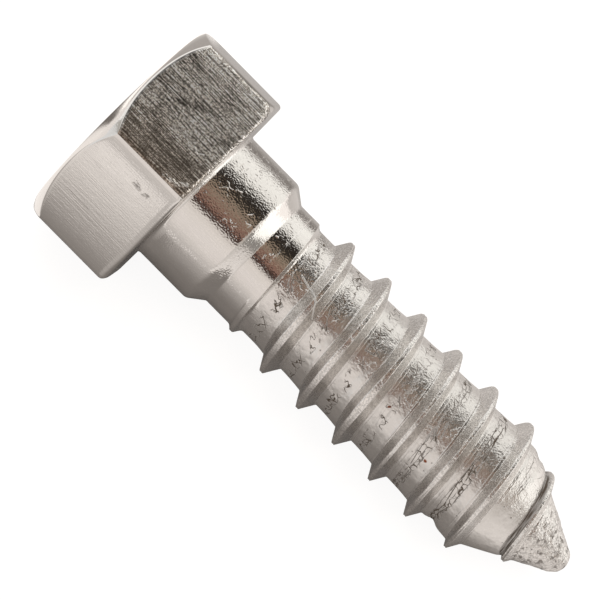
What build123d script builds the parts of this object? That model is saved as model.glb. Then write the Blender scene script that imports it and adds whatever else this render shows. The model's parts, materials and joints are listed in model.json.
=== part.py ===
from build123d import *
import os
from math import atan2, ceil, cos, degrees, pi, radians, sin, tan

# A hex lag bolt in steel: one piece, cold headed from wire, with a rolled wood thread and a pinched cone point.
#
# It is first built about the X axis, with X = 0 on the bearing face under the head, the head on the -X side,
# the point on the +X side and one flat of the head facing up (+Z). It is then laid down as it comes to rest on
# a table at Z = 0: on the lower flat's edge by the bearing face and on a crest of the thread. The origin ends
# up on the table, under the middle of its box. All sizes are in millimetres and degrees.

# Hex head
across_flats = 23.8
head_height = 10.7
chamfer_inset = 0.6         # from a flat to the round edge of the head's end face
chamfer_start_angle = 25.0  # slope of the rounded chamfer at the end face
chamfer_end_angle = 62.0    # its slope at the corners
chamfer_radius = 5.5        # radius of the rounded chamfer's section
edge_break = 0.2            # small chamfer around the bearing face
head_fillet = 0.5           # between the bearing face and the shank

# Shank, shoulder and neck
shank_dia = 15.7
shank_length = 6.7          # from the bearing face to the shoulder
shoulder_length = 1.65
neck_dia = 13.2
neck_length = 3.2
neck_end_length = 0.7       # cone between the neck and the root of the thread

# Thread, right-handed
root_dia = 12.4
crest_dia = 15.5
pitch = 5.0
flank_angle = 60.0          # between the two flanks of the ridge
crest_flat = 0.5
rise_length = 4.6           # the ridge grows out of the neck over this length
rise_before_neck_end = 1.4  # it leaves the neck's surface this far before the neck ends
fade_before_point = 0.9     # the crests start to come down this far before the point starts
fade_end_to_tip = 2.4       # they meet the point's surface this far from the tip
crest_place = 0.13          # a crest crosses the top line this share of a pitch past a whole number of them

# Point
under_head_length = 52.0    # from the bearing face to the tip
point_angle = 57.4
tip_radius = 1.4

# How the ridge is made
sections_per_turn = 16
sections_per_loft = 8       # half a turn at a time
root_overlap = 0.4          # the ridge's foot lies this deep in the core
ridge_overrun = 0.3         # the ridge goes on this far under the surface at each end

corner_radius = across_flats / 2 / cos(radians(30))
half_point = radians(point_angle / 2)
neck_start = shank_length + shoulder_length
neck_end = neck_start + neck_length
tip_centre = under_head_length - tip_radius
point_apex = tip_centre + tip_radius / sin(half_point)
point_start = point_apex - root_dia / 2 / tan(half_point)
rise_start = neck_end - rise_before_neck_end
fade_start = point_start - fade_before_point
fade_end = under_head_length - fade_end_to_tip


def revolved(profile):
    """A solid turned about the bolt's axis from a closed outline drawn in X and radius."""
    return revolve(make_face(profile), Axis.X)


def hex_head():
    """The hexagon, with its rounded chamfer at the end face and its edges broken at the bearing face."""
    hexagon = RegularPolygon(across_flats / 2, 6, major_radius=False)
    prism = extrude(Plane.YZ * hexagon, -head_height)
    bearing_face = prism.faces().sort_by(Axis.X)[-1]
    prism = chamfer(bearing_face.edges(), edge_break)

    end_face_radius = across_flats / 2 - chamfer_inset

    def on_chamfer(slope):
        turn, start = radians(slope), radians(chamfer_start_angle)
        return (
            -head_height + chamfer_radius * (cos(start) - cos(turn)),
            end_face_radius + chamfer_radius * (sin(turn) - sin(start)),
        )

    first = on_chamfer(chamfer_start_angle)
    middle = on_chamfer((chamfer_start_angle + chamfer_end_angle) / 2)
    last = on_chamfer(chamfer_end_angle)
    past_corner = 1.2 * corner_radius
    outside = (last[0] + (past_corner - last[1]) * tan(radians(chamfer_end_angle)), past_corner)
    profile = [
        Line((-head_height, 0), first),
        ThreePointArc(first, middle, last),
        Polyline(last, outside, (0, past_corner), (0, 0), (-head_height, 0)),
    ]
    return prism & revolved(profile)


def core():
    """Everything along the axis but the head's hexagon and the thread's ridge."""
    shank_radius, neck_radius, root_radius = shank_dia / 2, neck_dia / 2, root_dia / 2
    inside_head = -head_height / 2
    fillet_start = (0, shank_radius + head_fillet)
    fillet_end = (head_fillet, shank_radius)
    to_arc = head_fillet * (1 - cos(radians(45)))
    tangent_point = (tip_centre + tip_radius * sin(half_point), tip_radius * cos(half_point))
    middle = radians(45) + half_point / 2
    profile = [
        Polyline((inside_head, 0), (inside_head, shank_radius + head_fillet), fillet_start),
        ThreePointArc(fillet_start, (to_arc, shank_radius + to_arc), fillet_end),
        Polyline(
            fillet_end,
            (shank_length, shank_radius),
            (neck_start, neck_radius),
            (neck_end, neck_radius),
            (neck_end + neck_end_length, root_radius),
            (point_start, root_radius),
            tangent_point,
        ),
        ThreePointArc(
            tangent_point,
            (tip_centre + tip_radius * sin(middle), tip_radius * cos(middle)),
            (under_head_length, 0),
        ),
        Line((under_head_length, 0), (inside_head, 0)),
    ]
    return revolved(profile)


def crest_radius(x):
    """The crest's radius: it rises out of the neck, runs level and comes down over the point."""
    rising = neck_dia / 2 + (crest_dia - neck_dia) / 2 * (x - rise_start) / rise_length
    surface_at_fade_end = (point_apex - fade_end) * tan(half_point)
    fall = (crest_dia / 2 - surface_at_fade_end) / (fade_end - fade_start)
    return min(rising, crest_dia / 2, crest_dia / 2 - fall * (x - fade_start))


def crest_x(turns):
    """Where the crest is along the axis, after a number of turns from the top line."""
    return (crest_place + turns) * pitch


def foot_radius(x, half_foot):
    """How deep the ridge's foot reaches: under the core's surface all across its width."""
    straight = min(root_dia, neck_dia) / 2 - root_overlap
    on_point = (point_apex - x - half_foot) * tan(half_point) - root_overlap
    return min(straight, on_point)


def ridge_section(turns):
    """The ridge's section in the plane through the axis, after a number of turns from the top line."""
    x, top = crest_x(turns), crest_radius(crest_x(turns))
    flank_spread = tan(radians(flank_angle / 2))
    widest_half_foot = crest_flat / 2 + (crest_dia / 2 - root_dia / 2 + root_overlap) * flank_spread
    foot = foot_radius(x, widest_half_foot)
    half_crest = crest_flat / 2
    half_foot = half_crest + (top - foot) * flank_spread
    outline = [(x - half_foot, foot), (x - half_crest, top), (x + half_crest, top), (x + half_foot, foot)]
    # The top line is +Z. A right-handed ridge turns from +Z towards -Y as it goes along +X.
    angle = 2 * pi * turns
    across, up = -sin(angle), cos(angle)
    return Wire.make_polygon([Vector(a, r * across, r * up) for a, r in outline])


def ridge():
    """The thread's ridge in half turns, from under the neck's surface to under the point's surface."""
    first = (rise_start - ridge_overrun) / pitch - crest_place
    last = (fade_end + ridge_overrun) / pitch - crest_place
    steps = ceil((last - first) * sections_per_turn)
    sections = [ridge_section(first + (last - first) * i / steps) for i in range(steps + 1)]
    lofts = []
    for start in range(0, steps, sections_per_loft):
        lofts.append(Solid.make_loft(sections[start:start + sections_per_loft + 1]))
    return lofts


def resting_slope():
    """How far the axis slopes down to the point, with the head's flat and one crest on the table."""
    lowest_turn = 0.5
    slopes = []
    for turn in range(ceil(fade_end / pitch)):
        x = crest_x(turn + lowest_turn)
        if rise_start + rise_length < x < fade_end:
            slopes.append(atan2(across_flats / 2 - crest_radius(x), edge_break + x + crest_flat / 2))
    return min(slopes)


slope = resting_slope()
bolt = hex_head() + core()
for half_turn in ridge():
    bolt += half_turn
bolt = Rot(0, degrees(slope), 0) * bolt
box = bolt.bounding_box()
lift = across_flats / 2 * cos(slope) - edge_break * sin(slope)
bolt = Pos(-box.center().X, -box.center().Y, lift) * bolt

os.makedirs("parts", exist_ok=True)
export_step(bolt, "parts/lag_bolt.step")
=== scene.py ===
import json
from math import asin, atan2, cos, exp, pi, radians, sin, sqrt, tan

import bmesh
import bpy
import numpy as np
from mathutils import Matrix, Vector, noise


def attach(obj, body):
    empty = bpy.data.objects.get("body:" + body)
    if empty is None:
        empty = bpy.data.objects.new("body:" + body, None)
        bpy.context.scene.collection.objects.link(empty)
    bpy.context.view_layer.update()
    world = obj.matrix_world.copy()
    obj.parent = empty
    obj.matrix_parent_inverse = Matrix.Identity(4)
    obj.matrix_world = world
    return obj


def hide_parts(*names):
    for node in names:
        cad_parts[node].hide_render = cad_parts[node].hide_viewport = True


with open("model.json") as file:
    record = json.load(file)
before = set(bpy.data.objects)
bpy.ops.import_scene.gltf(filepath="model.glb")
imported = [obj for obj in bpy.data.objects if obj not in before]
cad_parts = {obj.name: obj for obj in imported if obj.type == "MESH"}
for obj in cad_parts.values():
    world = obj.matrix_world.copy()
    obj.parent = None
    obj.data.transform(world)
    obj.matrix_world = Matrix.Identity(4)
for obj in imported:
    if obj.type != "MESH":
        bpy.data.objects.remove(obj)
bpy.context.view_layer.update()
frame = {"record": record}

# ---- Where the bolt lies
# The bolt lies on the lower edge of its head and on a crest of its thread, with its point towards +X.
# Its own axes, in mm, have X along it from the bearing face to the point, Y to the back, and Z out of the
# head's top flat. Angles about it are from Z towards Y.

mm = 0.001
mounts = {mount["name"]: mount for mount in frame["record"]["mounts"]}
along = Vector(mounts["shank"]["axis"]).normalized()
shank_middle = Vector(mounts["shank"]["pos_m"])
on_bearing_face = Vector(mounts["bearing_face"]["pos_m"])
bearing_centre = shank_middle + along * along.dot(on_bearing_face - shank_middle)
back = Vector((0, 1, 0))
up = along.cross(back)
laid_down = (
    Matrix.Translation(bearing_centre)
    @ Matrix((along, back, up)).transposed().to_4x4()
    @ Matrix.Scale(mm, 4)
)


# ---- Head, shank and neck
# One end of the bolt, in bright stainless steel. The hexagon is cold headed from wire, with a rounded
# chamfer at its end face. The shank is drawn, and the neck below it is rolled down for the thread.

across_flats = 23.8
head_height = 10.56
end_face_radius = across_flats / 2 - 0.6
chamfer_start = radians(25)
chamfer_radius = 5.5
corner_rounding = 0.35
flat_crown = 0.08
flat_roll_off = 0.1
rim_rounding = 0.3
chamfer_edge_rounding = 0.14
bearing_edge_rounding = 0.42
head_fillet = 0.5
shank_radius = mounts["shank"]["dims"]["r_mm"]
shank_end = 6.7
neck_start = 8.35
neck_radius = 6.6
shank_round = 0.3
neck_round = 0.1
shank_round_share = 0.1875
neck_round_share = 0.0625
thread_from = 10.0
joint_gap = 0.12
head_columns = 288

# Places on the bearing edge that are worn more: angle in degrees, width in radians, and depth.
worn_places = ((-90, 0.2, 0.2), (30, 0.08, 0.6), (-30, 0.03, 0.2))

# How brushed and how grainy each part of the head is.
top_flat_skin = (1, 0.4)
other_flat_skin = (0.25, 0.08)
plain_head_skin = (0.1, 0.08)

# How grainy the shank and the shoulder are, on the bolt's smooth side and on its grainy side.
shank_brushed = 0.05
shank_grainy = (0.2, 1)
shoulder_grainy = (0.8, 0.1)
grainy_side = radians(60)

quarter = pi / 2
sixth = pi / 3
corner_centre = (across_flats / 2 - corner_rounding) / cos(sixth / 2)
corner_reach = atan2(
    corner_rounding * sin(sixth / 2), corner_centre + corner_rounding * cos(sixth / 2)
)


def between(a, b, share):
    return a + (b - a) * share


def eased(a, b, value):
    """0 below a, 1 above b, and an S curve between them."""
    share = min(max((value - a) / (b - a), 0), 1)
    return share * share * (3 - 2 * share)


def bump_at(value, middle, width):
    """1 at the middle, falling off to nothing a few widths away."""
    return exp(-(((value - middle) / width) ** 2))


def angle_gap(a, b):
    return (a - b + pi) % (2 * pi) - pi


def rounded(start, corner, end, share):
    """A point on the curve that rounds off a corner of an outline."""
    return [
        between(between(s, c, share), between(c, e, share), share)
        for s, c, e in zip(start, corner, end)
    ]


def hexagon_radius(angle):
    """Radius of the head's sides, which are crowned, roll off a little, and have rounded corners."""
    from_corner = sixth / 2 - abs((angle + sixth / 2) % sixth - sixth / 2)
    if from_corner < corner_reach:
        reach = corner_centre * sin(from_corner)
        rounded_corner = sqrt(corner_rounding**2 - reach**2)
        lowered = (flat_crown + flat_roll_off) / cos(sixth / 2)
        return corner_centre * cos(from_corner) + rounded_corner - lowered
    from_middle = tan(sixth / 2 - from_corner) / tan(sixth / 2)
    lowered = flat_crown * from_middle**2 + flat_roll_off * from_middle**8
    return (across_flats / 2 - lowered) / cos(sixth / 2 - from_corner)


def crowded(angle, amount):
    """Moves a column of the head towards its nearest corner, so that the corner comes out round."""
    corner = (round(angle / sixth - 0.5) + 0.5) * sixth
    off = angle - corner
    closer = sixth / 2 * (abs(off) / (sixth / 2)) ** 1.8
    return angle + amount * ((closer if off > 0 else -closer) - off)


def on_chamfer(slope):
    return (
        -head_height + chamfer_radius * (cos(chamfer_start) - cos(slope)),
        end_face_radius + chamfer_radius * (sin(slope) - sin(chamfer_start)),
    )


def head_point(part, share, angle):
    """Place along the bolt and radius of a row of the head, at an angle about the axis."""
    outer = hexagon_radius(angle)
    edge_slope = asin(sin(chamfer_start) + (outer - end_face_radius) / chamfer_radius)
    edge = on_chamfer(edge_slope)
    rim_end = chamfer_start + rim_rounding / chamfer_radius
    chamfer_end = edge_slope - chamfer_edge_rounding / chamfer_radius
    flat_start = (edge[0] + chamfer_edge_rounding, outer)
    worn = 0
    for worn_at, width, depth in worn_places:
        worn += bump_at(angle_gap(angle, radians(worn_at)), 0, width) * depth
    rounding = bearing_edge_rounding + worn
    inward = rounding + worn
    if part == "end":
        return -head_height, share * (end_face_radius - rim_rounding)
    if part == "rim":
        flat_end = (-head_height, end_face_radius - rim_rounding)
        return rounded(flat_end, (-head_height, end_face_radius), on_chamfer(rim_end), share)
    if part == "chamfer":
        return on_chamfer(between(rim_end, chamfer_end, share))
    if part == "chamfer edge":
        return rounded(on_chamfer(chamfer_end), edge, flat_start, share)
    if part == "flat":
        return between(flat_start[0], -rounding, share), outer
    if part == "bearing edge":
        turn = share * quarter
        return -rounding * (1 - sin(turn)), outer - inward * (1 - cos(turn))
    fillet_start = shank_radius + head_fillet
    return 0, between(outer - inward, fillet_start, share)


def shares(count):
    return [(i + 1) / count for i in range(count)]


def turned_outline():
    """The outline that follows the bearing face, from the fillet to the start of the thread."""
    points = []
    for share in shares(6):
        turn = share * quarter
        points.append(
            (head_fillet * (1 - cos(turn)), shank_radius + head_fillet * (1 - sin(turn)))
        )
    shank_corner = (shank_end, shank_radius)
    neck_corner = (neck_start, neck_radius)
    shoulder = list(zip(shank_corner, neck_corner))
    before_shoulder = (shank_end - shank_round, shank_radius)
    on_shoulder = [between(a, b, shank_round_share) for a, b in shoulder]
    low_shoulder = [between(b, a, neck_round_share) for a, b in shoulder]
    on_neck = (neck_start + neck_round, neck_radius)
    for share in shares(12):
        points.append((between(head_fillet, before_shoulder[0], share), shank_radius))
    points += [rounded(before_shoulder, shank_corner, on_shoulder, s) for s in shares(5)]
    plain_shoulder = list(zip(on_shoulder, low_shoulder))
    points += [[between(a, b, s) for a, b in plain_shoulder] for s in shares(4)]
    points += [rounded(low_shoulder, neck_corner, on_neck, s) for s in shares(3)]
    points += [(between(on_neck[0], thread_from - joint_gap, s), neck_radius) for s in shares(5)]
    return points


head_rows = [("end", share) for share in (0, 0.25, 0.5, 0.75, 0.9, 0.97, 1)]
head_rows += [("rim", share) for share in shares(4)]
head_rows += [("chamfer", share) for share in shares(12)]
head_rows += [("chamfer edge", share) for share in shares(4)]
head_rows += [("flat", share) for share in (0.02, 0.06, 0.12)]
head_rows += [("flat", 0.12 + 0.88 * share) for share in shares(20)]
head_rows += [("bearing edge", share) for share in shares(6)]
head_rows += [("bearing", share) for share in (0.08, 0.3, 0.6, 0.9, 1)]
turned_rows = turned_outline()

surface_marks = ("row", "brushed", "grainy", "satin", "grime")


def add_marks(mesh):
    """Gives a mesh the numbers that its vertices carry, which the finish reads later."""
    for name in surface_marks:
        mesh.verts.layers.float.new(name)


bolt = bmesh.new()
add_marks(bolt)
row_of = bolt.verts.layers.float["row"]
brushed_of = bolt.verts.layers.float["brushed"]
grainy_of = bolt.verts.layers.float["grainy"]


def joined_line(mesh, points):
    """An open line of edges in the XZ plane through points given along the bolt and as radii."""
    line = [mesh.verts.new((x, 0, radius)) for x, radius in points]
    for a, b in zip(line, line[1:]):
        mesh.edges.new((a, b))
    return line


def spun(mesh, columns, rise=0.0):
    """Spins the line in a mesh once about the bolt's axis, and moves each column along it by the rise."""
    bmesh.ops.spin(
        mesh,
        geom=mesh.verts[:] + mesh.edges[:],
        cent=(0, 0, 0),
        axis=(1, 0, 0),
        dvec=(rise, 0, 0),
        angle=2 * pi,
        steps=columns,
        use_merge=rise == 0,
    )


outline = joined_line(bolt, [head_point(*row, 0) for row in head_rows] + turned_rows)
for number, vertex in enumerate(outline):
    vertex[row_of] = number
spun(bolt, head_columns)
bmesh.ops.remove_doubles(bolt, verts=bolt.verts, dist=1e-4)


def place(vertex, x, radius, angle):
    vertex.co = (x, radius * sin(angle), radius * cos(angle))


def upper_side(angle):
    """1 on the side whose skin is grainy, 0 on the side that was rolled smooth."""
    return eased(-0.1, 0.25, cos(angle - grainy_side))


for vertex in bolt.verts:
    x, y, z = vertex.co
    angle = atan2(y, z)
    row = round(vertex[row_of])
    if row == 0:
        continue
    if row >= len(head_rows):
        vertex[brushed_of] = shank_brushed
        on_shoulder = bump_at(x, (shank_end + neck_start) / 2, 0.6)
        on_shank_skin = between(*shank_grainy, upper_side(angle))
        on_shoulder_skin = between(*shoulder_grainy, upper_side(angle))
        vertex[grainy_of] = between(on_shank_skin, on_shoulder_skin, on_shoulder)
        continue
    part, share = head_rows[row]
    shift = {"end": share, "bearing": 1 - share}.get(part, 1)
    angle = crowded(angle, shift)
    place(vertex, *head_point(part, share, angle), angle)
    skin = plain_head_skin
    if part in ("flat", "bearing edge"):
        skin = top_flat_skin if abs(angle) < sixth / 2 else other_flat_skin
    vertex[brushed_of], vertex[grainy_of] = skin


# ---- Thread and point
# The ridge is rolled: it grows out of the neck, runs round to the right, and comes down onto a cone that
# dies pinched to a blunt, uneven tip. The crests are blunter on one side, and the roots slope a little.

pitch = 5.0
root_radius = 6.17
crest_radius = 7.75
crest_place = 0.13
half_flank = radians(30)
half_point = radians(28.7)
point_slope = tan(half_point)
point_apex = 53.515
tip_end = 52.0
tip_radius = 1.4
thread_to = 50.2
held_length = 0.6
turns = 10
turn_columns = 180
tip_columns = 96
nominal_crest = 0.25
nominal_foot = 1.145
ridge_offsets = (0.08, 0.16, 0.21, 0.25, 0.30, 0.36, 0.45, 0.60, 0.75, 0.90, 1.00, 1.07)
ridge_offsets += (1.145, 1.22, 1.30, 1.40, 1.55, 1.75, 2.00, 2.25, 2.50)

# How far the crest reaches from its middle, on its sharp side and on its blunt side. On the blunt side it
# gets narrower along the thread, and on one side each turn has a facet of its own width.
blunt_side = radians(65)
sharp_toward_head, sharp_toward_tip = 0.2, 0.1
blunt_toward_head, blunt_toward_tip = (0.36, 0.22), 0.02
crest_rounding = (0.05, 0.14)
crest_waver, ridge_waver = 0.04, 0.02
facet_side = radians(-55)
facet_widths = (0.3, 0.2, 0.9, 0.9, 0.7, 1.0, 0.1, 0.3, 0.2, 0.1)
widest_facet = 0.4

# Where the neck ends, how steeply it drops to the root, and how the core departs from its plain form.
neck_end = 10.85
neck_end_later = 1.4
neck_drop = 1.1
neck_swelling = 0.15
root_growth = 0.1
root_slope, root_lowering = 0.16, 0.05
root_dent, root_dent_at = 0.35, 39.4
dip_before_fold, dip_at = (0.05, 0.6), 42.8

# The crest starts low at the neck and climbs, keeps its radius, and fades out on the cone.
ridge_start, start_radius = 12.2, 6.95
start_climb, climb = 0.9, 0.26
lean_before, lean, most_lean = 12.15, 0.5, 0.7
least_ridge = 0.25
foot_rounding = (0.55, 0.12)
crest_wear = 0.1
fade_start, fade_radius, fade = 42.1, 7.05, 0.61
last_fade_start, last_fade = 46.8, 0.35
fade_swelling, fade_swelling_at = 0.25, 44.6

# Depths of the marks that rolling leaves: a seam on the crest, a fold on the cone, dimples in the roots.
seam_depth = 0.035
fold_depth, fold_place, fold_width = 0.16, -1.4, 0.8
dimple_depth, dimple_place, dimple_side = 0.05, 2.1, radians(4)

# The bolt is a little uneven past its head. Its tip is lumpy, with a bulge on the blunt side.
uneven_depth, uneven_scale = 0.012, 0.35
tip_growth = 0.1
tip_lumps = ((0.16, 0.9), (0.07, 2.2))
tip_bulge, tip_bulge_at = 0.1, 51.0
lumpy_from, lumpy_to = 45.5, 49

# How grainy they are, on the bolt's smooth side and on its grainy side.
thread_grainy = (0.3, 1.3)
neck_grainy = (0.12, 0.6)
tip_grainy = 1.2


def smooth_least(a, b, width):
    overlap = max(width - abs(a - b), 0) / width
    return min(a, b) - overlap * overlap * width / 4


def smooth_most(a, b, width):
    return -smooth_least(-a, -b, width)


def bluntness(angle):
    """1 on the side where the crests are blunt, 0 on the opposite side."""
    return 0.5 + 0.5 * cos(angle_gap(angle, blunt_side))


def neck_edge(angle):
    """Where the neck ends, which is further along on the side where the ridge grows out of it."""
    return neck_end + neck_end_later * abs(angle_gap(angle, blunt_side)) / pi


def core_radius(x, angle):
    """Radius of the bolt between the ridges: neck, root and cone."""
    off_sharp_side = angle_gap(angle, blunt_side + pi)
    past_neck = x - neck_edge(angle)
    drop = smooth_least(neck_radius, neck_radius - past_neck * neck_drop, 0.04)
    body = smooth_most(drop, root_radius, 0.1)
    body += neck_swelling * bump_at(off_sharp_side, 0, 0.6) * bump_at(past_neck, -0.1, 0.45)
    body += root_growth * eased(14, 42, x)
    body -= between(*dip_before_fold, bluntness(angle)) * bump_at(x, dip_at, 0.75)
    body -= root_dent * bump_at(off_sharp_side, 0, 0.45) * bump_at(x, root_dent_at, 0.6)
    return smooth_least(body, (point_apex - x) * point_slope, 0.25)


def ridge_top(x):
    """Radius of the crest where it crosses x."""
    rising = start_radius + climb * max(x - ridge_start, 0)
    rising -= start_climb * max(ridge_start - x, 0)
    fading = fade_radius - fade * (x - fade_start) - last_fade * max(x - last_fade_start, 0) ** 2
    fading += fade_swelling * bump_at(x, fade_swelling_at, 1.2)
    level = crest_radius - crest_wear * eased(12, 42, x)
    return smooth_least(smooth_least(rising, level, 0.2), fading, 0.3)


def drawn_to(edge, x):
    """Moves a place near an edge closer to it, so that the edge comes out sharp."""
    reach = 0.6
    off = x - edge
    return edge + off * min(abs(off) / reach, 1) ** 0.8


def thread_point(x, angle):
    """Moves a point of the plain helical tube to its place on the thread.

    Gives its place along the bolt, its radius, how far it is from the crest, where the foot is 1, and how
    much it lies in the fold, from 0 to 1."""
    along_turns = x / pitch - crest_place + angle / (2 * pi)
    turn = round(along_turns)
    offset = (along_turns - turn) * pitch
    side = 1 if offset > 0 else -1
    crest_x = x - offset
    top = ridge_top(crest_x)
    core = core_radius(crest_x + side * nominal_foot, angle)
    blunt = bluntness(angle)
    facing = bump_at(angle_gap(angle, facet_side), 0, 0.7)
    blunt_reach = between(*blunt_toward_head, eased(25, 40, x))
    toward_head = between(sharp_toward_head, blunt_reach, blunt)
    toward_head += widest_facet * facing * facet_widths[turn % len(facet_widths)]
    toward_tip = between(sharp_toward_tip, blunt_toward_tip, blunt)
    half_crest = (toward_head + toward_tip) / 2
    half_crest += crest_waver * noise.noise((angle * 2.5, turn * 3.7, 0.5))
    foot = half_crest + max(top - core, least_ridge) * tan(half_flank)
    distance = abs(offset)
    if distance < nominal_crest:
        distance *= half_crest / nominal_crest
    elif distance < nominal_foot:
        share = (distance - nominal_crest) / (nominal_foot - nominal_crest)
        distance = between(half_crest, foot, share)
    else:
        share = (distance - nominal_foot) / (pitch / 2 - nominal_foot)
        distance = between(foot, pitch / 2, share)
    leaning = (toward_tip - toward_head) / 2
    leaning += min(max(lean_before - crest_x, 0) * lean, most_lean)
    leaning *= 1 - eased(nominal_foot, pitch / 2, abs(offset))
    held = eased(0, held_length, x - thread_from) * eased(0, held_length, thread_to - x)
    new_x = between(x, crest_x + leaning + side * distance, held)
    new_x = drawn_to(neck_edge(angle), new_x)
    distance = abs(new_x - crest_x - leaning)
    flank = top - (distance - half_crest) / tan(half_flank)
    seam = seam_depth * bump_at(distance, 0, 0.07)
    ridge = smooth_least(top - seam, flank, between(*crest_rounding, blunt))
    ridge += ridge_waver * noise.noise((new_x * 1.5, angle * 9, turn))
    from_behind = distance if side > 0 else pitch - distance
    root_share = min(max((from_behind - foot) / (pitch - 2 * foot), 0), 1)
    between_ridges = eased(13, 16, new_x) * eased(46, 42, new_x)
    slope = (root_slope * root_share**2 - root_lowering) * between_ridges
    on_ridge = side * distance / foot
    fold_middle = fold_place - 0.5 * bump_at(angle_gap(angle, blunt_side), 0, 0.5)
    fold = bump_at(on_ridge, fold_middle, fold_width) * eased(42.5, 43.5, x) * eased(48, 47, x)
    dimple = bump_at(from_behind, dimple_place, 0.5) * bump_at(angle_gap(angle, dimple_side), 0, 0.12)
    dimple *= eased(12.5, 13.5, x) * eased(34, 24, x)
    core = core_radius(new_x, angle) + slope - fold_depth * fold - dimple_depth * dimple
    blend = between(*foot_rounding, eased(12, 14, crest_x))
    return new_x, smooth_most(core, ridge, blend), on_ridge, fold


tube = bmesh.new()
add_marks(tube)
first_crest = crest_place * pitch + pitch
offsets = sorted({0} | {sign * offset for offset in ridge_offsets for sign in (1, -1)})
joined_line(tube, [(first_crest + offset, root_radius) for offset in offsets])
spun(tube, turn_columns, pitch / turn_columns)
one_turn = tube.verts[:] + tube.edges[:] + tube.faces[:]
for turn in range(1, turns):
    copied = bmesh.ops.duplicate(tube, geom=one_turn)["geom"]
    moved = [item for item in copied if isinstance(item, bmesh.types.BMVert)]
    bmesh.ops.translate(tube, verts=moved, vec=(pitch * turn, 0, 0))
bmesh.ops.remove_doubles(tube, verts=tube.verts, dist=0.01)
for where, outward in ((thread_from, -1), (thread_to, 1)):
    bmesh.ops.bisect_plane(
        tube,
        geom=tube.verts[:] + tube.edges[:] + tube.faces[:],
        dist=1e-4,
        plane_co=(where, 0, 0),
        plane_no=(outward, 0, 0),
        clear_outer=True,
    )

in_fold_layer = tube.verts.layers.float["grime"]
satin_layer = tube.verts.layers.float["satin"]
grainy_layer = tube.verts.layers.float["grainy"]
for vertex in tube.verts:
    x, y, z = vertex.co
    angle = atan2(y, z)
    if abs(x - thread_from) < 1e-3 or abs(x - thread_to) < 1e-3:
        place(vertex, x, core_radius(x, angle), angle)
        continue
    new_x, radius, on_ridge, fold = thread_point(x, angle)
    place(vertex, new_x, radius, angle)
    ridge_height = ridge_top(x - on_ridge) - core_radius(x, angle)
    full_ridge = eased(11.8, 13.5, x) * eased(0, 0.4, ridge_height)
    vertex[satin_layer] = eased(1.1, 0.9, abs(on_ridge)) * full_ridge
    # How much the vertex lies in the fold, which the finish darkens as dirt with painted shade in the
    # crease.
    vertex[in_fold_layer] = fold
    on_neck_skin = between(*neck_grainy, upper_side(angle))
    on_thread_skin = between(*thread_grainy, upper_side(angle))
    vertex[grainy_layer] = between(on_neck_skin, on_thread_skin, eased(11, 12, new_x))

tip_start = tip_end - tip_radius + tip_radius * sin(half_point)
tip_outline = []
for share in [0] + shares(6):
    x = between(thread_to + joint_gap, tip_start, share)
    tip_outline.append((x, (point_apex - x) * point_slope))
for share in shares(8):
    turn = between(half_point, quarter, share)
    tip_outline.append((tip_end - tip_radius + tip_radius * sin(turn), tip_radius * cos(turn)))
tip = bmesh.new()
add_marks(tip)
joined_line(tip, tip_outline)
spun(tip, tip_columns)
bmesh.ops.remove_doubles(tip, verts=tip.verts, dist=1e-3)
grainy_layer = tip.verts.layers.float["grainy"]
for vertex in tip.verts:
    vertex[grainy_layer] = tip_grainy

for part in (tube, tip):
    mesh = bpy.data.meshes.new("part")
    part.to_mesh(mesh)
    part.free()
    bolt.from_mesh(mesh)
    bpy.data.meshes.remove(mesh)

for where in (thread_from, thread_to):
    open_edges = [
        edge
        for edge in bolt.edges
        if edge.is_boundary and all(abs(v.co.x - where) < joint_gap * 1.1 for v in edge.verts)
    ]
    bmesh.ops.bridge_loops(bolt, edges=open_edges)

bmesh.ops.recalc_face_normals(bolt, faces=bolt.faces)

for vertex in bolt.verts:
    x, y, z = vertex.co
    radius = sqrt(y * y + z * z)
    if radius < 1e-4:
        continue
    uneven = uneven_depth * noise.noise(vertex.co * uneven_scale) * eased(0.5, 2, x)
    lumpy = tip_growth
    for depth, scale in tip_lumps:
        lumpy += depth * noise.noise(vertex.co * scale)
    on_blunt_side = eased(0, 1, cos(atan2(y, z) - blunt_side))
    lumpy += tip_bulge * bump_at(x, tip_bulge_at, 0.9) * on_blunt_side
    pinched = eased(lumpy_from, lumpy_to, x) * min(radius, 1)
    grown = 1 + (uneven + lumpy * pinched) / radius
    vertex.co = (x, y * grown, z * grown)

for face in bolt.faces:
    face.smooth = True
bolt_mesh = bpy.data.meshes.new("forged_bolt")
bolt.to_mesh(bolt_mesh)
bolt.free()


def read(items, name, width, kind):
    """One property of all the parts of a mesh, as an array of rows."""
    values = np.empty(len(items) * width, kind)
    items.foreach_get(name, values)
    return values.reshape(-1, width)


def unroll(mesh):
    """Lays a UV map round the bolt, in mm: U along the turns, and V across them from crest to crest."""
    points = read(mesh.vertices, "co", 3, np.float32)[
        read(mesh.loops, "vertex_index", 1, np.int32)[:, 0]
    ]
    centres = np.repeat(
        read(mesh.polygons, "center", 3, np.float32),
        read(mesh.polygons, "loop_total", 1, np.int32)[:, 0],
        axis=0,
    )
    face_angle = np.arctan2(centres[:, 1], centres[:, 2])
    angle = np.arctan2(points[:, 1], points[:, 2]) - face_angle
    angle = (angle + pi) % (2 * pi) - pi + face_angle
    turns_at = points[:, 0] / pitch - crest_place + angle / (2 * pi)
    face_turn = np.floor(centres[:, 0] / pitch - crest_place + face_angle / (2 * pi))
    spread = np.stack([-angle * root_radius, (turns_at - face_turn) * pitch], axis=1)
    mesh.uv_layers.new(name="unrolled").data.foreach_set("uv", spread.astype(np.float32).ravel())


unroll(bolt_mesh)
bolt_mesh.transform(laid_down)
forged_bolt = bpy.data.objects.new("forged_bolt", bolt_mesh)
bpy.context.scene.collection.objects.link(forged_bolt)
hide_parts("lag_bolt")
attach(forged_bolt, "root")
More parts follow.
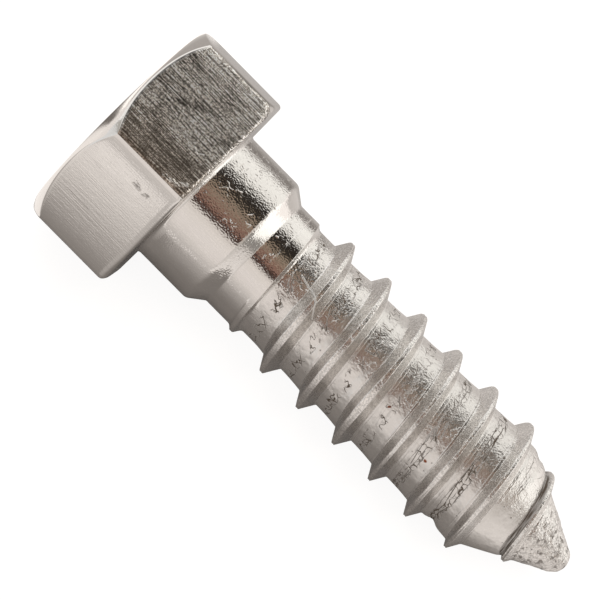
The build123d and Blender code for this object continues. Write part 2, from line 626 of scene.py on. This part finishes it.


# ---- Finish
# Stainless steel, bright and a little warm: brushed on the flats, satin on the flanks, and crinkled where
# it was drawn. Its grain, cracks, scratches, rust and dirt are noises and lines laid out on the bolt in mm,
# and the dark in the fold is dirt with painted shade in its crease.

# Where the thread, the cone and the tip begin, as the places between which each of them comes in.
thread_begins = (11.8, 12.6)
cone_begins = (41.5, 43.0)
tip_begins = (45.5, 47.5)

steel_colour = (0.79, 0.768, 0.745, 1)
# A dark colour for cracks, pits, scratches and dirt, and for the painted shade in the fold.
dirt_and_shade_colour = (0.09, 0.068, 0.05, 1)
rust_colour = (0.23, 0.07, 0.03, 1)
scraped_colour = (0.95, 0.94, 0.92, 1)
# Painted shade: the dark brown that the top flat is mixed towards on its front side.
painted_shade_colour = (0.2, 0.17, 0.14, 1)
# Painted reflection: a warm brown tint for the top flat alone.
top_flat_reflection_tint = (1.0, 0.93, 0.85, 1)

# Roughness of plain steel, and what each kind of skin adds to it. In the roots it grows along the thread.
steel_roughness = 0.1
satin_rougher = 0.17
top_flat_rougher = 0.32
roots_rougher = (0.16, 0.24)
dark_rougher = 0.4
scrapes_rougher = 0.3


def node(tree, kind, inputs=None, **settings):
    """A shader node with its settings, and with its inputs either set or linked."""
    made = tree.nodes.new("ShaderNode" + kind)
    for name, value in settings.items():
        setattr(made, name, value)
    for name, value in (inputs or {}).items():
        if isinstance(value, bpy.types.NodeSocket):
            tree.links.new(value, made.inputs[name])
        else:
            made.inputs[name].default_value = value
    return made


steel = bpy.data.materials.new("bright_steel")
steel.use_nodes = True
surface = steel.node_tree
surface.nodes.clear()


def computed(tree, operation, *values, clamped=False):
    """The result of an operation on values that are numbers or sockets."""
    inputs = dict(enumerate(values))
    return node(tree, "Math", inputs, operation=operation, use_clamp=clamped).outputs[0]


def maths(operation, *values, clamped=False):
    return computed(surface, operation, *values, clamped=clamped)


def vector_maths(operation, inputs, output=0):
    return node(surface, "VectorMath", inputs, operation=operation).outputs[output]


def ranged(value, low, high, to_low=0.0, to_high=1.0):
    """Maps low to to_low and high to to_high, smoothly, and holds there beyond them."""
    inputs = {"Value": value, "From Min": low, "From Max": high, "To Min": to_low, "To Max": to_high}
    return node(surface, "MapRange", inputs, interpolation_type="SMOOTHSTEP").outputs[0]


def product(first, *others):
    for other in others:
        first = maths("MULTIPLY", first, other)
    return first


def greatest(first, *others):
    for other in others:
        first = maths("MAXIMUM", first, other)
    return first


def scaled(coordinates, scale):
    """Coordinates in cells, for a scale in cells per mm that is one number or one for each axis."""
    scale = scale if isinstance(scale, tuple) else (scale, scale, scale)
    return node(surface, "Mapping", {"Vector": coordinates, "Scale": scale}).outputs[0]


def grained(coordinates, scale, detail=2.0):
    """A noise that gets finer with more detail."""
    inputs = {"Vector": scaled(coordinates, scale), "Scale": 1.0, "Detail": detail}
    return node(surface, "TexNoise", inputs).outputs["Fac"]


def marked(name):
    return node(surface, "Attribute", attribute_name=name).outputs["Fac"]


on_bolt = node(
    surface,
    "Mapping",
    {
        "Vector": node(surface, "TexCoord").outputs["Object"],
        "Location": laid_down.translation,
        "Rotation": laid_down.to_euler(),
        "Scale": (mm, mm, mm),
    },
    vector_type="TEXTURE",
).outputs[0]
place_on_bolt = node(surface, "SeparateXYZ", {0: on_bolt})
x_on_bolt, y_on_bolt = place_on_bolt.outputs["X"], place_on_bolt.outputs["Y"]
round_bolt = product(maths("ARCTAN2", y_on_bolt, place_on_bolt.outputs["Z"]), root_radius)
on_skin = node(surface, "CombineXYZ", {"X": x_on_bolt, "Y": round_bolt}).outputs[0]
unrolled = node(surface, "UVMap", uv_map="unrolled").outputs[0]
brushed, grainy = marked("brushed"), marked("grainy")
satin, grime = marked("satin"), marked("grime")

parts_of_unrolled = node(surface, "SeparateXYZ", {0: unrolled})
from_crest = parts_of_unrolled.outputs["Y"]
drifting = node(
    surface,
    "CombineXYZ",
    {
        "X": parts_of_unrolled.outputs["X"],
        "Y": from_crest,
        "Z": product(x_on_bolt, 0.03),
    },
).outputs[0]


def cells(scale, feature):
    """Voronoi cells on the unrolled thread, whose borders are bent by a noise."""
    warp = product(grained(drifting, (1.6, 1.6, 1.0), 1.0), 0.8)
    bent = vector_maths("ADD", {0: scaled(drifting, scale), 1: warp})
    inputs = {"Vector": bent, "Scale": 1.0}
    return node(surface, "TexVoronoi", inputs, feature=feature).outputs["Distance"]


def spots(coordinates, per_mm, size, share):
    """Round specks of about that size in mm, in that share of the cells."""
    cell = node(surface, "TexVoronoi", {"Vector": scaled(coordinates, per_mm), "Scale": 1.0})
    chosen = node(surface, "SeparateXYZ", {0: cell.outputs["Color"]}).outputs["X"]
    near = ranged(cell.outputs["Distance"], size * per_mm, size * per_mm * 0.6)
    return product(near, maths("LESS_THAN", chosen, share))


on_thread = ranged(x_on_bolt, *thread_begins)
on_cone = ranged(x_on_bolt, *cone_begins)
on_tip = ranged(x_on_bolt, *tip_begins)
in_root = product(on_thread, maths("SUBTRACT", 1.0, satin))


def scratched(places, width, source=on_bolt):
    """1 along a line through places on the bolt, in mm, fading to 0 at that distance from it."""
    nearest = None
    for start, end in zip(places, places[1:]):
        start, end = Vector(start), Vector(end)
        run = end - start
        from_start = vector_maths("SUBTRACT", {0: source, 1: start})
        share = vector_maths("DOT_PRODUCT", {0: from_start, 1: run / run.length_squared}, "Value")
        share = maths("MULTIPLY", share, 1.0, clamped=True)
        on_line = vector_maths("SCALE", {0: run, 3: share})
        gap = vector_maths("DISTANCE", {0: from_start, 1: on_line}, "Value")
        nearest = maths("MINIMUM", nearest, gap) if nearest else gap
    return ranged(nearest, width, width * 0.3)


def round_skin(x, angle):
    """A place on the skin of the thread, laid out flat."""
    return x, radians(angle) * root_radius, 0


def on_flat(x, off, flat_angle):
    """A place on a flat of the head, at a distance off its middle line."""
    turn = radians(flat_angle)
    reach = across_flats / 2
    return x, reach * sin(turn) + off * cos(turn), reach * cos(turn) - off * sin(turn)


# Faint lines at the feet of the ridges.
from_foot = maths("ABSOLUTE", maths("SUBTRACT", from_crest, pitch / 2))
from_foot = maths("ABSOLUTE", maths("SUBTRACT", from_foot, 1.3))
foot_lines = product(
    ranged(from_foot, 0.09, 0.02), ranged(x_on_bolt, 13.5, 15), ranged(x_on_bolt, 43, 41.5)
)

# Single marks, each at its own place: nicks, a hair-thin scratch, a scuff, a smudge and rust.
nick = scratched([on_flat(-2.7, -2.1, 0), on_flat(-2.15, -2.45, 0), on_flat(-1.6, -2.0, 0)], 0.1)
edge_nick = scratched([on_flat(-0.9, 5.15, 0), on_flat(0.0, 5.1, 0)], 0.16)
hair = scratched(
    [round_skin(13.1, -8), round_skin(14.6, -12), round_skin(15.8, -18), round_skin(16.8, -29)],
    0.11,
    on_skin,
)
scuff = scratched([on_flat(-2.9, -6.3, 0), on_flat(-1.5, -6.2, 0), on_flat(-0.7, -5.5, 0)], 0.3)
scuff = product(scuff, ranged(grained(on_bolt, (2.5, 5.0, 5.0), 1.0), 0.45, 0.6))
scrapes = greatest(nick, edge_nick, hair, scuff)
side_scratch = scratched([on_flat(-8.6, -1.7, -60), on_flat(-5.7, -1.8, -60)], 0.06)
smudge = scratched([on_flat(-4.4, 4.4, -60), on_flat(-2.6, 4.1, -60)], 0.42)
smudge = product(smudge, ranged(grained(on_bolt, (1.4, 2.2, 2.2), 4.0), 0.44, 0.62))
rust = greatest(
    scratched([round_skin(34.2, -47), round_skin(34.3, -47)], 0.2, on_skin),
    scratched([round_skin(28.0, -36), round_skin(28.1, -35)], 0.16, on_skin),
)

# The grain of the steel: streaks along the flats, rings round the thread, and worm-like crinkles.
long_streaks = grained(on_bolt, (0.05, 9.0, 9.0), 1.0)
streaks = maths("ADD", long_streaks, grained(on_bolt, (0.7, 9.0, 9.0), 1.0))
speckle = grained(on_bolt, 6.0, 0.0)
grain = grained(on_bolt, 1.6)
rings = grained(on_bolt, (6.0, 0.12, 0.12))
blotches = grained(on_bolt, 0.35, 3.0)
patches = grained(on_bolt, 0.9)
lumps = grained(on_bolt, 1.5, 3.0)
off_worms = maths("ABSOLUTE", maths("SUBTRACT", grained(on_bolt, 1.1, 1.0), 0.5))
worms = product(ranged(off_worms, 0.035, 0.0), ranged(grained(on_bolt, 0.8), 0.5, 0.6))

# Cracks and long splits along the roots, pits in them, dirt on the tip, and dirt with painted shade in the
# fold.
crack_band = product(
    ranged(from_crest, 1.4, 1.8),
    ranged(from_crest, 2.9, 2.6),
    maths("SUBTRACT", in_root, on_cone, clamped=True),
)
crack_lines = ranged(cells((0.9, 0.9, 1.0), "DISTANCE_TO_EDGE"), 0.05, 0.015)
crack_breaks = ranged(grained(drifting, (0.8, 0.8, 1.0)), 0.38, 0.48)
split_lines = ranged(cells((0.3, 2.6, 1.0), "DISTANCE_TO_EDGE"), 0.13, 0.03)
split_breaks = ranged(grained(drifting, (0.5, 2.0, 1.0)), 0.42, 0.52)
splits = product(split_lines, split_breaks, crack_band, ranged(x_on_bolt, 25, 37))
cracks = greatest(product(crack_lines, crack_breaks, crack_band), splits)

pits = product(spots(on_bolt, 1.5, 0.1, 0.4), greatest(on_cone, product(in_root, 0.6)))
fold_lines = ranged(grained(unrolled, (0.25, 5.0, 1.0), 1.0), 0.38, 0.62, 0.3, 1.0)
# The fold is darkened: painted shade in its crease, mottled like dirt by the fold lines.
fold_dirt_and_shade = product(ranged(grime, 0.05, 0.45), fold_lines)
tip_dirt = product(on_tip, ranged(grained(on_bolt, 1.8, 6.0), 0.54, 0.66))
dirt_and_fold_shade = greatest(fold_dirt_and_shade, product(smudge, 0.6), product(tip_dirt, 0.7))
dark = greatest(cracks, pits, dirt_and_fold_shade, product(side_scratch, 0.35))


def blended(tree, share, before, after, **settings):
    """One colour where the share is 0, another where it is 1."""
    inputs = {"Factor": share, 6: before, 7: after}
    return node(tree, "Mix", inputs, data_type="RGBA", **settings).outputs[2]


def mixed(share, before, after):
    return blended(surface, share, before, after)


def tinted(share, before, tint):
    return blended(surface, share, before, tint, blend_type="MULTIPLY")


mottled = ranged(grained(on_bolt, 5.0, 1.0), 0.3, 0.7, 0.78, 1.14)
lined = product(
    ranged(streaks, 0.80, 1.26, 0.22, 1.6),
    ranged(speckle, 0.32, 0.70, 0.45, 1.55),
    ranged(blotches, 0.35, 0.65, 0.75, 1.2),
)
on_top_flat = ranged(brushed, 0.5, 1.0)
# Painted shade: the top flat is mixed up to half towards a dark brown, more towards its front (-Y) side.
top_flat_painted_shade = product(on_top_flat, ranged(y_on_bolt, -1.0, -5.0, 0.0, 0.5))
colour = tinted(product(greatest(satin, on_tip), 0.9), steel_colour, mottled)
colour = tinted(ranged(brushed, 0.25, 1.0, 0.03, 1.0), colour, lined)
colour = mixed(top_flat_painted_shade, colour, painted_shade_colour)
# Painted reflection: the top flat alone is tinted warm brown.
colour = tinted(product(on_top_flat, 0.6), colour, top_flat_reflection_tint)
colour = mixed(product(scrapes, 0.7), colour, scraped_colour)
colour = mixed(dark, colour, dirt_and_shade_colour)
colour = mixed(rust, colour, rust_colour)

# Relief, from heights, each with the depth in metres that a height of 1 stands for.
relief = None
for height, depth in (
    (product(streaks, brushed), 1.2e-5),
    (product(rings, maths("MULTIPLY_ADD", on_cone, 2.0, in_root)), 1.2e-5),
    (product(speckle, grainy), 2.8e-5),
    (product(grain, grainy), 3e-5),
    (product(patches, in_root), 1.2e-4),
    (product(worms, ranged(grainy, 0.6, 0.95)), 3e-5),
    (product(lumps, on_tip), 2.8e-4),
    (maths("SUBTRACT", 1.0, dark), 3e-5),
    (foot_lines, 2.5e-5),
    (scrapes, 1.2e-4),
):
    inputs = {"Height": height, "Distance": depth}
    if relief:
        inputs["Normal"] = relief
    relief = node(surface, "Bump", inputs).outputs[0]

roughness = steel_roughness
for share, rougher in (
    (product(satin, on_thread), satin_rougher),
    (ranged(brushed, 0.5, 0.9), top_flat_rougher),
    (in_root, ranged(x_on_bolt, 12, 38, *roots_rougher)),
    (dark, dark_rougher),
    (scrapes, scrapes_rougher),
):
    roughness = maths("MULTIPLY_ADD", share, rougher, roughness)
shader = node(
    surface,
    "BsdfPrincipled",
    {
        "Base Color": colour,
        "Metallic": maths("SUBTRACT", 1.0, product(dark, 0.8)),
        "Roughness": roughness,
        "Normal": relief,
    },
)
node(surface, "OutputMaterial", {"Surface": shader.outputs["BSDF"]})
bolt_mesh.materials.append(steel)


# ---- Floor and light
# A pale paper floor that looks white, and a studio of white walls with a dark panel overhead and warm
# strips beside it, which is the world's colour by direction. One soft lamp overhead gives the shadow.
# In the metal the floor glows as a painted reflection: painted shadow near the bolt, painted highlight
# strips.

floor_size = 3
floor_reach = 0.5
floor_colour = (0.166, 0.153, 0.143, 1)
floor_glow = 0.9
far_glow = (0.85, 0.85, 0.85, 1)
warm_in_metal = (1.0, 0.955, 0.92, 1)
plain_white = (1, 1, 1, 1)

# How brightly the floor glows in the metal, by metres in front of the bolt (below 0) or behind it. This is
# a painted reflection: the low values near the bolt are painted shadow, and the bright strips painted
# highlights.
glow_under_head = (
    (-0.5, 0.95),
    (-0.3, 0.82),
    (-0.216, 0.69),
    (-0.165, 0.50),
    (-0.118, 0.25),
    (-0.08, 0.14),
    (-0.03, 0.08),
    (0.0, 0.05),
    (0.012, 0.25),
    (0.02, 0.36),
    (0.03, 0.30),
    (0.045, 0.13),
    (0.06, 0.06),
)
glow_in_front = (
    (-0.5, 0.48),
    (-0.23, 0.44),
    (-0.155, 0.39),
    (-0.1, 0.32),
    (-0.075, 0.28),
    (-0.046, 0.22),
    (-0.03, 0.12),
    (-0.02, 0.06),
)
glow_under_shank = (
    *glow_in_front,
    (0.0, 0.05),
    (0.012, 0.25),
    (0.02, 0.40),
    (0.03, 0.30),
    (0.045, 0.13),
    (0.06, 0.06),
)
glow_under_thread = (
    *glow_in_front,
    (0.0, 0.08),
    (0.012, 0.35),
    (0.02, 0.60),
    (0.06, 0.45),
    (0.5, 0.60),
)
# Beyond the head: a painted shadow strip just behind the bolt's line, then a painted highlight strip.
glow_beyond_head = (
    (-0.5, 0.82),
    (-0.23, 0.75),
    (-0.155, 0.60),
    (-0.1, 0.38),
    (-0.06, 0.20),
    (-0.035, 0.30),
    (-0.02, 0.90),
    (-0.002, 0.95),
    (0.001, 0.75),
    (0.0035, 0.0),
    (0.0108, 0.0),
    (0.0145, 1.25),
    (0.0195, 1.45),
    (0.0213, 0.5),
    (0.03, 0.3),
    (0.3, 0.3),
)
glow_beyond_point = (
    (-0.5, 0.78),
    (-0.1, 0.75),
    (-0.05, 0.75),
    (-0.0226, 0.85),
    (-0.015, 0.80),
    (-0.01, 0.70),
    (0.0, 0.60),
    (0.03, 1.1),
    (0.5, 1.1),
)

floor_mesh = bpy.data.meshes.new("floor")
floor = bmesh.new()
bmesh.ops.create_grid(floor, x_segments=1, y_segments=1, size=floor_size)
floor.to_mesh(floor_mesh)
floor.free()
floor_object = bpy.data.objects.new("floor", floor_mesh)
bpy.context.scene.collection.objects.link(floor_object)

paper = bpy.data.materials.new("paper")
paper.use_nodes = True
paper_tree = paper.node_tree
paper_tree.nodes.clear()
rays = node(paper_tree, "LightPath")
looked_at_directly = rays.outputs["Is Camera Ray"]
floor_places = node(paper_tree, "TexCoord").outputs["Object"]
place_on_floor = node(paper_tree, "SeparateXYZ", {0: floor_places})
floor_x, floor_y = place_on_floor.outputs["X"], place_on_floor.outputs["Y"]


def banded(tree, source, reach, stops):
    """Colours or levels that follow a value within a reach of 0, at stops in that value's own units."""
    share = node(tree, "MapRange", {"Value": source, "From Min": -reach, "From Max": reach})
    bands = node(tree, "ValToRGB", {0: share.outputs[0]})
    ramp = bands.color_ramp
    ramp.elements.remove(ramp.elements[1])
    for number, (value, colour) in enumerate(stops):
        position = (value + reach) / (2 * reach)
        stop = ramp.elements[0] if number == 0 else ramp.elements.new(position)
        stop.position = position
        stop.color = (*colour, 1) if isinstance(colour, tuple) else (colour, colour, colour, 1)
    return bands.outputs[0]


def changing(tree, source, low, high, before, after):
    """One colour where a value is below low, another where it is above high."""
    inputs = {"Value": source, "From Min": low, "From Max": high}
    change = node(tree, "MapRange", inputs, interpolation_type="SMOOTHSTEP").outputs[0]
    return blended(tree, change, before, after)


def on_paper(operation, *values):
    return computed(paper_tree, operation, *values)


def slanting(slope):
    """Place along the floor, counted from a line that leaves the bolt at a slope."""
    return on_paper("MULTIPLY_ADD", floor_y, -slope, floor_x)


# From the head to the point, each zone of the floor takes over from the one before it between two places.
glow_in_metal = far_glow
for place_along, low, high, stops in (
    (floor_x, -0.16, -0.12, glow_beyond_head),
    (slanting(0.062), -0.0335, -0.032, glow_under_head),
    (slanting(0.025), -0.0195, -0.0185, glow_under_shank),
    (floor_x, -0.0085, -0.006, glow_under_thread),
    (floor_x, 0.025, 0.04, glow_beyond_point),
):
    zone = banded(paper_tree, floor_y, floor_reach, stops)
    glow_in_metal = changing(paper_tree, place_along, low, high, glow_in_metal, zone)

# Glossy and transmission rays see the painted reflection, with its painted shadow near the bolt.
in_metal = on_paper("ADD", rays.outputs["Is Glossy Ray"], rays.outputs["Is Transmission Ray"])
shown = on_paper("MULTIPLY", in_metal, glow_in_metal)
strength = on_paper("MULTIPLY", on_paper("ADD", looked_at_directly, shown), floor_glow)
tint = blended(paper_tree, looked_at_directly, warm_in_metal, plain_white)
diffuse = node(paper_tree, "BsdfDiffuse", {"Color": floor_colour})
glow = node(paper_tree, "Emission", {"Color": tint, "Strength": strength})
both = node(paper_tree, "AddShader", {0: diffuse.outputs[0], 1: glow.outputs[0]})
node(paper_tree, "OutputMaterial", {"Surface": both.outputs[0]})
floor_mesh.materials.append(paper)

# The studio, by degrees about X from straight up towards the back: between its ends, and at each of them.
studio_bands = (
    (-90, (0.61, 0.57, 0.54)),
    (-80, (0.77, 0.72, 0.68)),
    (-70, (0.86, 0.80, 0.76)),
    (-61, (0.88, 0.82, 0.78)),
    (-46, (0.86, 0.80, 0.75)),
    (-38, (0.77, 0.71, 0.66)),
    (-34, (0.06, 0.037, 0.03)),
    (-27, (0.08, 0.045, 0.036)),
    (-20, (0.36, 0.21, 0.16)),
    (-15, (0.15, 0.09, 0.068)),
    (-9, (0.46, 0.32, 0.24)),
    (-4, (0.15, 0.11, 0.08)),
    (2, (0.42, 0.33, 0.25)),
    (8, (0.10, 0.08, 0.058)),
    (17, (0.03, 0.024, 0.02)),
    (33, (0.03, 0.024, 0.02)),
    (37, (0.16, 0.15, 0.14)),
    (43, (0.74, 0.72, 0.68)),
    (50, (0.95, 0.93, 0.88)),
    (57, (1.15, 1.13, 1.07)),
    (64, (0.98, 0.96, 0.92)),
    (72, (1.18, 1.16, 1.10)),
    (82, (1.05, 1.03, 0.98)),
    (90, (0.88, 0.86, 0.82)),
    (93, (0.28, 0.27, 0.255)),
)
head_side_bands = (
    (-90, (0.88, 0.88, 0.88)),
    (-40, (0.80, 0.80, 0.79)),
    (-25, (0.50, 0.48, 0.45)),
    (-2, (0.50, 0.48, 0.45)),
    (12, (1.00, 0.99, 0.96)),
    (90, (1.15, 1.14, 1.13)),
)
cone_bands = (
    (-90, (0.78, 0.73, 0.69)),
    (-79, (0.77, 0.72, 0.68)),
    (-53, (0.70, 0.66, 0.62)),
    (-25, (0.52, 0.47, 0.42)),
    (3, (0.64, 0.58, 0.53)),
    (29, (1.12, 1.07, 1.00)),
    (55, (1.50, 1.47, 1.41)),
    (90, (1.45, 1.42, 1.37)),
)
point_side_bands = (
    (-90, (0.80, 0.75, 0.71)),
    (-60, (0.75, 0.70, 0.66)),
    (-40, (0.40, 0.37, 0.34)),
    (-20, (0.31, 0.29, 0.27)),
    (12, (0.28, 0.26, 0.24)),
    (26, (0.60, 0.57, 0.53)),
    (36, (1.30, 1.27, 1.20)),
    (90, (1.50, 1.48, 1.43)),
)

overhead = bpy.data.lights.new("overhead", "AREA")
overhead.shape = "DISK"
overhead.size = 1.2
overhead.energy = 12
overhead_lamp = bpy.data.objects.new("overhead", overhead)
overhead_lamp.location = (0, 0, 1.3)
overhead_lamp.visible_glossy = False
bpy.context.scene.collection.objects.link(overhead_lamp)

studio = bpy.data.worlds.new("studio")
studio.use_nodes = True
bpy.context.scene.world = studio
sky_tree = studio.node_tree
sky_tree.nodes.clear()
half_turn = 180
direction = node(sky_tree, "SeparateXYZ", {0: node(sky_tree, "TexCoord").outputs["Generated"]})
around = computed(sky_tree, "ARCTAN2", direction.outputs["Y"], direction.outputs["Z"])
around = computed(sky_tree, "MULTIPLY", around, half_turn / pi)
toward_point = direction.outputs["X"]

sky = banded(sky_tree, around, half_turn, head_side_bands)
for low, high, stops in (
    (-0.4, -0.15, studio_bands),
    (0.55, 0.7, cone_bands),
    (0.87, 0.93, point_side_bands),
):
    side = banded(sky_tree, around, half_turn, stops)
    sky = changing(sky_tree, toward_point, low, high, sky, side)
sky = blended(sky_tree, node(sky_tree, "LightPath").outputs["Is Camera Ray"], sky, plain_white)
light = node(sky_tree, "Background", {"Color": sky, "Strength": 1.0})
node(sky_tree, "OutputWorld", {"Surface": light.outputs[0]})


# ---- Camera
# It looks steeply down from the front, through a long lens, at a place on the bolt's axis, and is turned
# so that the bolt runs from the upper left to the lower right.

view_tilt = radians(25)
view_lean = radians(1.62)
view_roll = radians(45.3)
view_distance = 285.65 * mm
looked_at_along = 14.82 * mm
looked_at = bearing_centre + along * looked_at_along
toward_viewer = up * cos(view_tilt) - back * sin(view_tilt)
eye_direction = (toward_viewer * cos(view_lean) - along * sin(view_lean)).normalized()
picture_along = (along - eye_direction * along.dot(eye_direction)).normalized()
picture_up = eye_direction.cross(picture_along)
right = picture_along * cos(view_roll) + picture_up * sin(view_roll)
top = eye_direction.cross(right)

camera = bpy.data.objects.new("camera", bpy.data.cameras.new("camera"))
bpy.context.scene.collection.objects.link(camera)
camera.data.sensor_width = 36
camera.data.lens = 174
camera.matrix_world = Matrix.Translation(looked_at + eye_direction * view_distance) @ (
    Matrix((right, top, eye_direction)).transposed().to_4x4()
)
camera.data.clip_start = 0.01
camera.data.clip_end = 10
bpy.context.scene.camera = camera
bpy.context.scene.view_settings.view_transform = "Standard"
